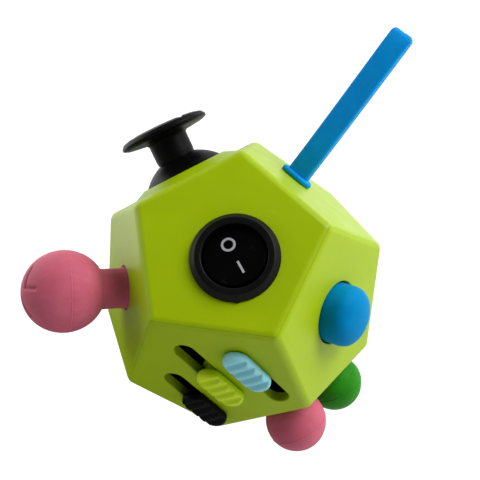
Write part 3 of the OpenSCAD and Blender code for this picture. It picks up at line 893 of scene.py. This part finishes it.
def area(name, azimuth, elevation, distance, size, power, aim=(0, 0, 0.025)):
    a, e = radians(azimuth), radians(elevation)
    way = Vector((cos(e) * cos(a), cos(e) * sin(a), sin(e)))
    data = bpy.data.lights.new(name, "AREA")
    data.shape = "DISK"
    data.size = size
    data.energy = power
    lamp = bpy.data.objects.new(name, data)
    facing = way.to_track_quat("Z", "Y").to_matrix().to_4x4()
    lamp.matrix_world = Matrix.Translation(Vector(aim) + way * distance) @ facing
    bpy.context.scene.collection.objects.link(lamp)


area("key", 44, 35, 0.6, 0.35, 3.1)
area("left", 165, 5, 0.45, 0.3, 0.8)

BRIGHT_SIDE = (cos(radians(20)), sin(radians(20)), 0)
SKY_LEVELS = (0.8, 1.3)


def make_world():
    world = bpy.data.worlds.new("studio")
    world.use_nodes = True
    t = world.node_tree
    coord = t.nodes.new("ShaderNodeTexCoord")
    split = t.nodes.new("ShaderNodeSeparateXYZ")
    ramp = t.nodes.new("ShaderNodeValToRGB")
    t.links.new(coord.outputs["Generated"], split.inputs[0])
    t.links.new(split.outputs["Z"], ramp.inputs[0])
    t.links.new(ramp.outputs[0], t.nodes["Background"].inputs["Color"])
    ramp.color_ramp.elements[0].position = 0.0
    ramp.color_ramp.elements[0].color = (1, 1, 1, 1)
    ramp.color_ramp.elements[1].position = 0.95
    ramp.color_ramp.elements[1].color = (0.015, 0.015, 0.016, 1)
    mid = ramp.color_ramp.elements.new(0.5)
    mid.color = (0.55, 0.55, 0.56, 1)
    side = t.nodes.new("ShaderNodeVectorMath")
    side.operation = "DOT_PRODUCT"
    side.inputs[1].default_value = BRIGHT_SIDE
    t.links.new(coord.outputs["Generated"], side.inputs[0])
    level = t.nodes.new("ShaderNodeMapRange")
    for i, v in enumerate((-1, 1, *SKY_LEVELS)):
        level.inputs[i + 1].default_value = v
    t.links.new(side.outputs["Value"], level.inputs[0])
    t.links.new(level.outputs[0], t.nodes["Background"].inputs["Strength"])
    bpy.context.scene.world = world


make_world()

# The floor's painted shade and painted glow, in metres in the row frame.
SHADE_AT = (-0.034, -0.046, 0)
SHADE_IN, SHADE_OUT = 0.036, 0.085
FLOOR_REFLECTED_GLOW = 1.4
LEFT_FULL, LEFT_NONE = -0.078, -0.038
NEAR_NONE, NEAR_FULL = -0.018, 0.01
FLOOR_RIGHT_GLOW = 0.45
RIGHT_NONE, RIGHT_FULL = -0.035, 0.035
CAMERA_WHITE = 1.15


def make_floor():
    """White paper: burnt out where it is seen; for other rays it has a painted shade under the toy's lower left, and
    painted glow at its left (glossy rays only) and at its right.
    """
    bm = bmesh.new()
    lathe(bm, [(0, -0.02), (30, -0.02), (300, -0.02), (3000, -0.02)], 64)
    floor = to_object("floor", bm, Matrix.Scale(0.001, 4))
    n = Nodes("paper_floor")
    away = n.add("ShaderNodeVectorMath", operation="DISTANCE")
    n.link(n.place, away.inputs[0])
    away.inputs[1].default_value = SHADE_AT
    # painted shade: round SHADE_AT the paper goes from near black to white between SHADE_IN and SHADE_OUT, a shadow
    # painted under the toy's lower left; camera rays see only white
    beyond_painted_shade = n.mapped(away.outputs["Value"], SHADE_IN, SHADE_OUT, 0.0, 1.0)
    path = n.add("ShaderNodeLightPath")
    paper_with_painted_shade = n.mix(beyond_painted_shade, (0.05, 0.05, 0.05, 1), (0.88, 0.88, 0.88, 1))
    n.link(n.mix(path.outputs["Is Camera Ray"], paper_with_painted_shade, (0, 0, 0, 1)), n.shader.inputs["Base Color"])
    n.shader.inputs["Roughness"].default_value = 0.9
    n.shader.inputs["Specular IOR Level"].default_value = 0.0
    n.shader.inputs["Emission Color"].default_value = (1, 1, 1, 1)
    split = n.add("ShaderNodeSeparateXYZ")
    n.link(n.place, split.inputs[0])
    # painted reflection: a strip of floor at the left glows, seen only in glossy rays, so the toy's left faces reflect
    # a bright floor
    left = n.mapped(split.outputs["X"], LEFT_FULL, LEFT_NONE, FLOOR_REFLECTED_GLOW, 0.0)
    left = n.maths("MULTIPLY", left, n.mapped(split.outputs["Y"], NEAR_NONE, NEAR_FULL, 0.0, 1.0))
    painted_reflection = n.maths("MULTIPLY", path.outputs["Is Glossy Ray"], left)
    # painted light: the floor's right side glows, lighting the toy's lower faces from below; camera rays see only the
    # white
    right = n.mapped(split.outputs["X"], RIGHT_NONE, RIGHT_FULL, 0.0, FLOOR_RIGHT_GLOW)
    painted_floor_glow = n.maths("MAXIMUM", painted_reflection, right)
    seen = n.maths("MULTIPLY", path.outputs["Is Camera Ray"], CAMERA_WHITE)
    n.link(n.maths("MAXIMUM", seen, painted_floor_glow), n.shader.inputs["Emission Strength"])
    floor.data.materials.append(n.material)


make_floor()
bpy.context.scene.view_settings.view_transform = "Standard"
